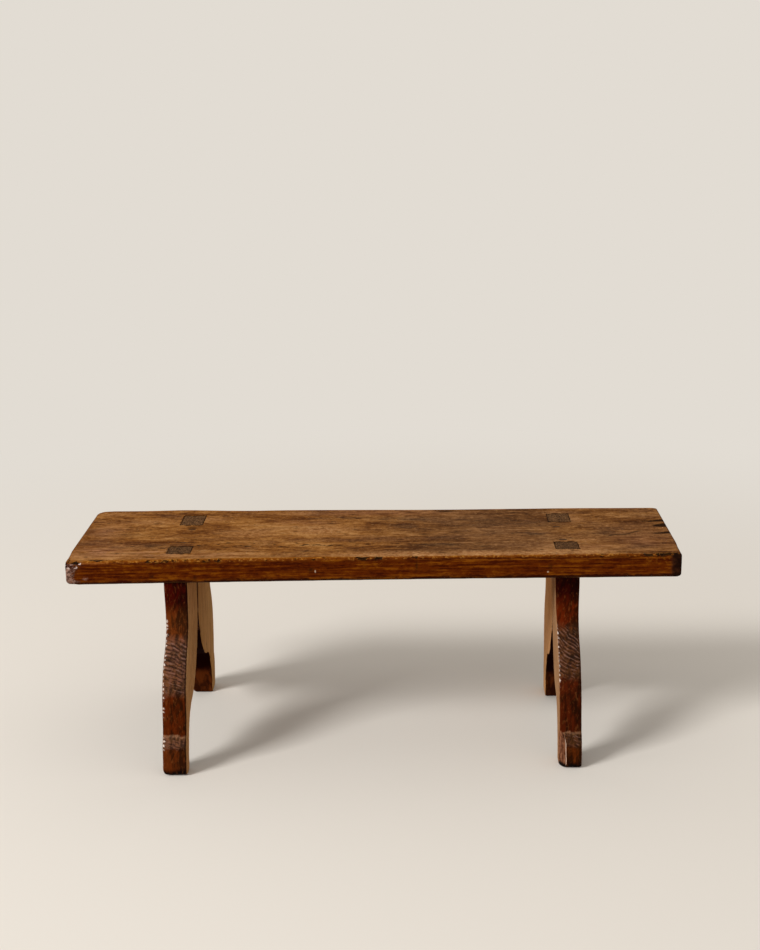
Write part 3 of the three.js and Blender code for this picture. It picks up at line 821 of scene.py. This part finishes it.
# Down a leg's front edge one kind of surface gives way to the next: painted shade under the seat,
# partly dark grime, worn brown wood, the bare end grain of the flare with a painted sheen, polished
# wood, the facet under the ledge, also with a painted sheen, and the foot. Each has its height and its
# colour. The ridges of the end grain slant down to the right, by the first number at the height
# RIDGE_MIDDLE and by the second more for each metre above it. They stand out most between the two
# heights of "ridged". The corner gets painted glints between each pair of heights in "sparks", and
# "glint" is how wide they are, as a share of the leg's thickness, and how strong. "bulge" is how far
# the left side swells, from the height
# BULGE_FROM down to BULGE_FULL. "top" is how much the leg widens inwards and outwards, from TOP_FROM up
# to TOP_FULL. "sole" is a round's side, width and height.
LEG_ZONES = {
    "left_slab_leg": {
        "worn": 0.256, "flare": 0.210, "polish": 0.132, "ledge": 0.065, "foot": 0.046,
        "slant": (0.34, 1.0), "ridged": (0.164, 0.205),
        "sparks": ((0.126, 0.240), (0.098, 0.113)), "glint": (0.13, 1.0),
        "bulge": 0.0028, "top": (0.0, 0.0022), "sole": (-1, 0.0130, 0.0180),
        "tones": ((48, 6, 1), (78, 37, 11), (87, 56, 40), (66, 25, 4), (89, 58, 41), (72, 32, 9)),
    },
    "right_slab_leg": {
        "worn": 0.257, "flare": 0.215, "polish": 0.146, "ledge": 0.058, "foot": 0.038,
        "slant": (0.55, 12.0), "ridged": (0.160, 0.208),
        "sparks": ((0.136, 0.217),), "glint": (0.085, 0.75),
        "bulge": 0.0, "top": (0.0026, 0.0012), "sole": (1, 0.0020, 0.0125),
        "tones": ((38, 4, 1), (70, 22, 3), (67, 40, 23), (56, 19, 4), (67, 41, 25), (66, 29, 6)),
    },
}
LEG_RIPPLE = 0.0005
RIDGE_PITCH = 0.0052
RIDGE_DEPTH = 0.0008
SPARK_PITCH = 0.0070
RIDGE_MIDDLE = 0.172
BULGE_FROM = 0.235
BULGE_FULL = 0.150
TOP_FROM = 0.20
TOP_FULL = 0.30
# The arch's wood is painted near black as shade above these heights and is brown below them. A leg's
# inner face is painted less light in its front part, where the key light falls, which begins between
# these places along Y.
ARCH_BROWN_Z = (0.066, 0.050)
FRONT_PART_Y = (0.0, -0.06)
# Over which distances under a leg's top the dark ends of its tenons begin, and the wood of its arch,
# and how softly a stretch of painted glints ends.
TENON_END = (0.0055, 0.0015)
ARCH_END = (0.035, 0.045)
SPARK_FADE = 0.006

# A piece is split off the inner front corner of the right leg's front foot: how far it reaches along
# the front and back along the leg, up to where it is gone, and from where the corner is whole again.
# The split waves by this much, and its wood turns as dark as the sole's painted shade between the two
# heights.
FOOT_CHIP_ALONG = 0.0115
FOOT_CHIP_BACK = 0.018
FOOT_CHIP_FULL = 0.046
FOOT_CHIP_END = 0.064
FOOT_CHIP_WAVE = 0.0012
FOOT_CHIP_DARK = (0.010, 0.004)


def leg_line(node):
    """A packed leg's middle along X at the floor and at its top, and its height."""
    low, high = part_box(node)
    places = packed_places(node)
    sole = places[places[:, 2] < low.z + CROWN_BAND, 0]
    crown = places[places[:, 2] > high.z - CROWN_BAND, 0]
    return (sole.min() + sole.max()) / 2, (crown.min() + crown.max()) / 2, high.z


def across_leg(skin, node):
    """Where each place lies through the thickness of a leg, measured from its middle."""
    foot_x, top_x, top_z = leg_line(node)
    x, _, z = skin.places.T
    return x - (foot_x + (top_x - foot_x) * z / top_z)


def split_off_chip(skin, across, low):
    """Cuts the inner front corner of a foot back to a slanting facet, and says where that is."""
    _, y, z = skin.places.T
    slant = math.hypot(FOOT_CHIP_BACK, FOOT_CHIP_ALONG)
    outward = np.array((-FOOT_CHIP_BACK, -FOOT_CHIP_ALONG)) / slant
    beyond = (across - across.min() - FOOT_CHIP_ALONG) * outward[0] + (y - low.y) * outward[1]
    wavy = FOOT_CHIP_WAVE * (skin.rough((0.008, 0.008, 0.012), 61) - 0.5)
    cut = np.maximum(beyond + wavy, 0) * ease(FOOT_CHIP_END, FOOT_CHIP_FULL, z)
    cut *= y < low.y + 2 * FOOT_CHIP_BACK
    skin.places[:, 0] -= cut * outward[0]
    skin.places[:, 1] -= cut * outward[1]
    return ease(0.0, 0.0008, cut)


def round_sole(skin, across, half, side, size, rise):
    """Rounds the lower corner of both feet on one side of a leg."""
    lift = np.clip(1 - skin.places[:, 2] / rise, 0, 1)
    allowed = half - size * (1 - np.sqrt(1 - lift**2))
    skin.places[:, 0] -= side * np.maximum(across * side - allowed, 0)


def sparkle(skin, zones, facet, z):
    """How strongly painted glints light a leg's corner at each height, in an uneven beat."""
    sparks = facet
    for start, stop in zones["sparks"]:
        lit = ease(start - SPARK_FADE, start + SPARK_FADE, z)
        lit = lit * ease(stop + SPARK_FADE, stop - SPARK_FADE, z)
        sparks = np.maximum(sparks, lit)
    beat = z / SPARK_PITCH + 2.4 * skin.rough((1, 1, 0.016), 57)
    uneven = 0.6 * skin.rough((1, 1, 0.005), 58) - 0.3
    return sparks * ease(-0.35, 0.35, np.sin(2 * math.pi * beat) + 2 * uneven)


def wear_leg(piece, node):
    """Wears a leg's corners, raises the ridges of its end grain and notes what each part of it is."""
    skin = Skin(piece)
    low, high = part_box(node)
    zones = LEG_ZONES[node]
    kept = square_up(skin, high.z)
    skin.even_out(EVEN_OUT_TIMES, kept)
    skin.store()
    across = across_leg(skin, node)
    _, y, z = skin.places.T
    side, ahead, _ = skin.normals.T
    half = np.abs(across[z < UNDERSIDE]).max()
    flat = ease(0.5, 0.9, np.abs(side))
    outer = np.sign(y) * ahead > -0.05
    flare = ease(zones["polish"] - 0.005, zones["polish"] + 0.005, z)
    flare = flare * ease(zones["flare"] + 0.007, zones["flare"] - 0.007, z) * outer
    facet = ease(zones["foot"] - 0.003, zones["foot"], z) * outer
    facet = facet * ease(zones["ledge"], zones["ledge"] - 0.003, z)
    slope, bend = zones["slant"]
    slope = slope + bend * np.clip(z - RIDGE_MIDDLE, -0.03, 0.045)
    phase = (z + slope * across) / RIDGE_PITCH + 1.5 * skin.rough((0.012, 0.03, 0.014), 52)
    plain, full = zones["ridged"]
    strong = 0.35 + 0.65 * ease(plain - 0.008, plain, z) * ease(full + 0.008, full, z)
    ridge = 0.5 + 0.5 * np.sin(2 * math.pi * phase) * strong
    ripple = LEG_RIPPLE * skin.rough((0.012, 0.03, 0.07), 51)
    grooved = np.maximum(flare, 0.6 * facet) * (1 - flat)
    skin.sink((ripple + RIDGE_DEPTH * (1 - ridge) * grooved) * ~kept)
    round_sole(skin, across, half, *zones["sole"])
    skin.places[:, 0] -= zones["bulge"] * ease(BULGE_FROM, BULGE_FULL, z) * ease(0, -half, across)
    inward = -math.copysign(1, leg_line(node)[1])
    widened = np.where(across * inward > 0, *zones["top"]) * ease(TOP_FROM, TOP_FULL, z)
    widened = widened * (z < UNDERSIDE) * ease(0.2, 0.9, np.abs(across) / half)
    skin.places[:, 0] += np.sign(across) * widened
    chip = split_off_chip(skin, across, low) if node == "right_slab_leg" else np.zeros(len(z))
    skin.store()
    skin.mark(
        across=(across / half + 1) / 2,
        edge=(1 - flat) * ease(0.2, 0.6, np.abs(ahead)) * outer,
        cut=(1 - flat) * ~outer * ease(*ARCH_END, high.z - z),
        bare=np.maximum(flare, facet),
        spark=sparkle(skin, zones, facet, z) * outer,
        ridge=ridge,
        front_corner=ease(-0.2, -0.4, ahead) * ease(0.97, 0.90, np.abs(side)),
        tenon=ease(*TENON_END, high.z - z),
        inner=flat * (side * inward > 0),
        split=chip,
    )


# How much darker and lighter than its middle colour each zone of a leg's edge gets.
DEEP = 0.66
BRIGHT = 1.36
# The sole is painted dark as shade where it meets the floor, up to the first height, and the foot has
# its own colour from the second.
SOLE_SHADE = (14, 6, 4)
SOLE_HEIGHTS = (0.005, 0.014)
LEDGE_TONE = (118, 84, 60)
# The borders from the foot up: the height's name, half the border's width and the zone above it.
ZONE_BORDERS = (
    ("foot", 0.002, "facet"), ("ledge", 0.002, "polish"), ("polish", 0.005, "flare"),
    ("flare", 0.007, "worn"), ("worn", 0.012, "shade"),
)


def zone_tones(zones, level):
    """The colours up a leg's edge at one level of light, as stops from the floor to the seat."""
    names = ("shade", "worn", "flare", "polish", "facet", "foot")
    tone = {name: tuple(c * level for c in values) for name, values in zip(names, zones["tones"])}
    # The sole is painted shade where the foot meets the floor.
    stops = [(SOLE_HEIGHTS[0], SOLE_SHADE), (SOLE_HEIGHTS[1], tone["foot"])]
    below = "foot"
    for border, half, above in ZONE_BORDERS:
        stops.append((zones[border] - half, tone[below]))
        if border == "ledge":
            stops.append((zones["ledge"], tuple(c * math.sqrt(level) for c in LEDGE_TONE)))
        stops.append((zones[border] + half, tone[above]))
        below = above
    return [(height / UNDERSIDE, value) for height, value in stops]


def leg_edge(f, zones, mottle, streak, slanted, ridges):
    """The outer edges of a leg, whose colours change with the height."""
    height = f.times(f.sum(f.along("Z"), f.stray(mottle, 0.016)), 1 / UNDERSIDE)
    across = f.marked("across")
    figure = f.figure((mottle, 0.45), (streak, 0.6), (slanted, 0.6))
    figure = f.sum(figure, f.times(f.sum(0.5, across, "SUBTRACT"), 0.20))
    # The zones' colours hold painted shade under the seat and a painted sheen on the flare and the
    # facet.
    dark = f.bands(height, zone_tones(zones, DEEP))
    light = f.bands(height, zone_tones(zones, BRIGHT))
    edge = f.mix(f.steps(figure, 0.36, 0.64), dark, light)
    # A painted sheen on the bare end grain: a tint that turns cool grey in places, painted shade in the
    # grooves of its ridges and a pale painted sheen on their crests.
    tint = f.mix(f.steps(slanted, 0.42, 0.58), (1.02, 0.99, 0.70, 1), (0.93, 0.94, 1.02, 1))
    edge = f.mix(f.marked("bare"), edge, f.mix(1.0, edge, tint, "MULTIPLY"))
    grooves = f.steps(f.sum(f.marked("ridge"), f.stray(ridges, 3.0)), 0.46, 0.08)
    edge = f.lay(edge, (34, 20, 17), grooves, f.marked("bare"), 0.75)
    crests = f.steps(f.sum(f.marked("ridge"), f.stray(ridges, 3.0)), 0.70, 1.05)
    edge = f.lay(edge, (146, 112, 100), crests, f.marked("bare"), 0.40)
    # Painted shade along the right side of the edge, which turns away from the light.
    edge = f.lay(edge, (16, 6, 4), f.steps(across, 0.88, 0.96), 0.85)
    wide, strength = zones["glint"]
    uneven = f.sum(across, f.stray(f.noise((4, 4, 6), 3, 0.6), 0.3))
    corner = f.steps(uneven, wide, wide * 0.4)
    # Painted glints along the front corner, where the light catches the ends of the ridges.
    return f.lay(edge, (255, 240, 228), f.marked("spark"), f.marked("front_corner"), corner, strength)


def split_wood(f, fine):
    """Bare pinkish wood where the foot is split, with a dark crack, a painted highlight along its side
    and painted shade near the floor.
    """
    across = f.marked("across")
    split = f.mix(f.steps(fine), (84, 48, 30), (146, 98, 70))
    split = f.lay(split, (26, 11, 7), f.band(across, 0.11, 0.14, 0.18, 0.20), 0.95)
    # A painted highlight on the edge of the split.
    split = f.lay(split, (244, 210, 186), f.band(across, 0.20, 0.22, 0.27, 0.29), 0.95)
    # Near the floor the split wood takes the sole's painted shade.
    return f.mix(f.steps(f.along("Z"), *FOOT_CHIP_DARK), split, SOLE_SHADE)


# A leg's inner face: its pale wood and its dark wood, painted lighter than the wood as room light on a
# face that lies mostly in shade, and how light its front part, where the key light falls, is beside the
# rest.
INNER_TONES = {
    "left_slab_leg": ((207, 164, 109), (182, 138, 89), 1.0),
    "right_slab_leg": ((238, 186, 132), (214, 160, 108), 0.51),
}


def inner_face(f, node, fibre, streak):
    """The paler, drier wood of a leg's inner face, with dark specks, painted light as from the room,
    and less so at the front, where the key light falls.
    """
    pale, dark, front_share = INNER_TONES[node]
    inner = f.mix(f.steps(streak, 0.38, 0.60), dark, pale)
    inner = f.lay(inner, (112, 74, 44), f.steps(fibre, 0.50, 0.34), 0.4)
    specks = f.steps(f.noise((5, 5, 12), 3, 0.5), 0.64, 0.72)
    inner = f.lay(inner, (78, 48, 28), specks, 0.5)
    # The front part, lit by the key light, keeps less of the painted light than the rest.
    grey = (front_share, front_share, front_share * 1.08, 1)
    less_lit_front = f.mix(1.0, inner, grey, "MULTIPLY")
    return f.mix(f.steps(f.along("Y"), *FRONT_PART_Y), inner, less_lit_front)


def leg_finish(name, node, roughness, shine):
    """Dark waxed wood with upright grain: painted near-black shade under the seat, partly grime, and
    bare end grain with a painted sheen on the flare.
    """
    f = Finish(name)
    zones = LEG_ZONES[node]
    fibre = f.noise((1.1, 1.1, 50), 5, 0.6)
    fine = f.noise((3, 3, 9), 5, 0.65, 0.4)
    streak = f.noise((5, 5, 50), 5, 0.6, 0.4)
    slanted = f.noise((6, 6, 18), 5, 0.65, 0.4, (0, 0.4, 0))
    mottle = f.noise((14, 14, 30), 4, 0.6, 0.5)
    ridges = f.noise((12, 20, 2.2), 4, 0.6, 0.3, (0, math.atan(zones["slant"][0]), 0))
    edge = leg_edge(f, zones, mottle, streak, slanted, ridges)
    edge = f.lay(edge, (150, 92, 48), f.steps(fine, 0.54, 0.66), 0.22)

    outside = f.mix(f.steps(streak), (78, 40, 18), (122, 70, 34))
    outside = f.lay(outside, (58, 26, 11), f.steps(mottle, 0.48, 0.62), 0.5)
    outside = f.lay(outside, (40, 17, 7), f.steps(fibre, 0.52, 0.36), 0.5)
    wood = f.mix(f.marked("inner"), outside, inner_face(f, node, fibre, streak))
    wood = f.mix(f.marked("edge"), wood, edge)
    # The arch is painted near black as shade high up, and is brown lower down.
    arch_low = f.steps(f.sum(f.along("Z"), f.times(mottle, 0.02)), *ARCH_BROWN_Z)
    brown = f.mix(f.steps(mottle, 0.4, 0.6), (50, 20, 7), (92, 44, 16))
    arch = f.mix(arch_low, (24, 3, 1), brown)
    wood = f.mix(f.marked("cut"), wood, arch)
    wood = f.mix(f.marked("split"), wood, split_wood(f, fine))
    wood = f.mix(f.marked("tenon"), wood, end_grain(f))
    bare_ridges = f.times(ridges, f.marked("bare"))
    f.relief(((mottle, 0.0005), (streak, 0.0006), (fine, 0.0006), (bare_ridges, 0.0016)))
    return f.finish(wood, f.sum(roughness, f.times(fine, 0.2)), shine)


# Tenon ends, wedges and nails


def end_grain(f):
    """The dark ends of the tenons and wedges, full of wax and dirt, with a few black pits."""
    fine = f.noise((2, 3.2, 3.2), 5, 0.62)
    broad = f.noise((7, 10, 10), 4, 0.6)
    end = f.mix(f.steps(fine), (56, 37, 22), (108, 76, 48))
    end = f.lay(end, (58, 38, 22), f.steps(broad, 0.50, 0.38), 0.6)
    pits = f.steps(f.noise((4.5, 6, 4.5), 2, 0.5, shift=(0.1, 0, 0)), 0.62, 0.70)
    end = f.lay(end, (20, 12, 8), pits, 0.8)
    rear = f.mix(1.0, end, (1.28, 1.28, 1.25, 1), "MULTIPLY")
    return f.mix(f.steps(f.along("Y"), -0.02, 0.02), end, rear)


def wedge_finish():
    """The same dark end grain as the tenon that the wedge spreads."""
    f = Finish("wedge_wood")
    grain = f.noise((1.2, 4, 20), 5, 0.6)
    wood = f.lay(end_grain(f), (40, 26, 17), f.steps(grain, 0.54, 0.40), 0.5)
    f.relief(((grain, 0.0004),))
    return f.finish(wood, f.sum(WEDGE[0], f.times(grain, 0.2)), WEDGE[1])


def fill_kerf(piece):
    """Thickens a wedge until it meets the wood on both sides, as one that was driven home does."""
    skin = Skin(piece)
    middle = (skin.places[:, 0].min() + skin.places[:, 0].max()) / 2
    skin.places[:, 0] = middle + (skin.places[:, 0] - middle) * WEDGE_FILL
    skin.store()


def nail_finish():
    """Forged iron gone black, with a little brown rust."""
    f = Finish("nail_iron")
    pits = f.noise((1.8, 1.8, 3), 5, 0.6)
    tone = f.mix(f.steps(pits, 0.42, 0.62), (24, 16, 12), (56, 34, 22))
    f.relief(((pits, 0.0005),))
    return f.finish(tone, f.sum(NAIL[0], f.times(pits, 0.3)), NAIL[1])


# The room


def make_floor():
    """A wide plain floor that fades into the background, and sends up darker light than it shows."""
    mesh = bpy.data.meshes.new("floor")
    corners = ((-1, -1), (1, -1), (1, 1), (-1, 1))
    mesh.from_pydata([(FLOOR_HALF * x, FLOOR_HALF * y, 0) for x, y in corners], [], [(0, 1, 2, 3)])
    floor = new_object("floor", mesh)
    f = Finish("floor")
    seen = f.seen()
    grain = f.noise((600, 600, 600), 3)
    pale = f.mix(f.times(grain, 0.3), FLOOR_PALE, BACKGROUND)
    near = f.add("BsdfDiffuse", {"Color": f.mix(seen, FLOOR_BOUNCE, pale)})
    far = f.add("Emission", {"Color": f.mix(seen, FLOOR_BOUNCE, BACKGROUND)})
    fade = f.steps(f.vector("LENGTH", f.places), FLOOR_FADE_FROM, FLOOR_FADE_TO)
    f.end("Material", f.add("MixShader", {0: fade, 1: near, 2: far}))
    mesh.materials.append(f.material)


def light_room():
    """One large soft key light, and a room that is pale to the eye and fills the shade evenly."""
    lamp = bpy.data.lights.new("key", "AREA")
    lamp.shape = "SQUARE"
    lamp.size = KEY_SIDE
    lamp.energy = KEY_WATTS
    key = new_object("key", lamp)
    towards = KEY_TOWARDS.normalized()
    key.location = towards * KEY_DISTANCE
    key.rotation_mode = "QUATERNION"
    key.rotation_quaternion = towards.to_track_quat("Z", "Y")

    world = bpy.data.worlds.new("room")
    bpy.context.scene.world = world
    world.use_nodes = True
    n = Nodes(world.node_tree)
    shown = n.add("Background", {"Color": BACKGROUND})
    fill = n.add("Background", {"Color": FILL_TINT, "Strength": FILL_STRENGTH})
    n.end("World", n.add("MixShader", {0: n.seen(), 1: fill, 2: shown}))


def place_camera():
    data = bpy.data.cameras.new("camera")
    data.sensor_width = SENSOR_MM
    data.lens = FOCAL_PIXELS / FRAME_HEIGHT_PIXELS * SENSOR_MM
    camera = new_object("camera", data)
    turned = Matrix.Rotation(CAMERA_YAW, 4, "Z")
    tipped = Matrix.Rotation(math.pi / 2 - CAMERA_PITCH, 4, "X")
    rolled = Matrix.Rotation(-CAMERA_ROLL, 4, "Z")
    camera.matrix_world = Matrix.Translation(CAMERA_PLACE) @ turned @ tipped @ rolled
    bpy.context.scene.camera = camera


def dress(node, face, finish, stretch=(1, 1, 1)):
    """A worked copy of one node, with its finish."""
    piece = worked_copy(node, face, stretch)
    piece.data.materials.append(finish)
    return piece


def polish(piece, finish, chosen):
    """Gives a second finish to the faces that a test picks out by their middles and normals."""
    faces = piece.data.polygons
    picked = chosen(vectors(faces, "center"), vectors(faces, "normal"))
    piece.data.materials.append(finish)
    faces.foreach_set("material_index", picked.astype(np.int32))


def off_top(_, normals):
    """All faces of the seat but those of its top."""
    return normals[:, 2] < 0.8


def on_outer_edge(middles, normals):
    """The faces of a leg's front and rear edges."""
    outward = middles[:, 1] * normals[:, 1] > 0
    return outward & (np.abs(normals[:, 1]) > 0.5) & (middles[:, 2] < UNDERSIDE)


def build_seat():
    matte = seat_finish("seat_top_wood", *MATTE)
    seat = dress("seat_plank", SEAT_FACE, matte, SEAT_STRETCH)
    wear_seat(seat)
    polish(seat, seat_finish("seat_edge_wood", *POLISHED), off_top)


def build_leg(node):
    matte = leg_finish(node + "_faces", node, *MATTE)
    leg = dress(node, LEG_FACE, matte, LEG_STRETCH)
    wear_leg(leg, node)
    polish(leg, leg_finish(node + "_edges", node, *POLISHED), on_outer_edge)


def build_small_pieces():
    wedge = wedge_finish()
    nail = nail_finish()
    for side in ("left", "right"):
        for half in ("front", "rear"):
            fill_kerf(dress(f"{side}_{half}_wedge", SMALL_FACE, wedge))
            dress(f"{side}_{half}_nail", SMALL_FACE, nail)


build_seat()
for leg_node in LEGS:
    build_leg(leg_node)
build_small_pieces()
make_floor()
light_room()
place_camera()
bpy.context.scene.view_settings.view_transform = "Standard"
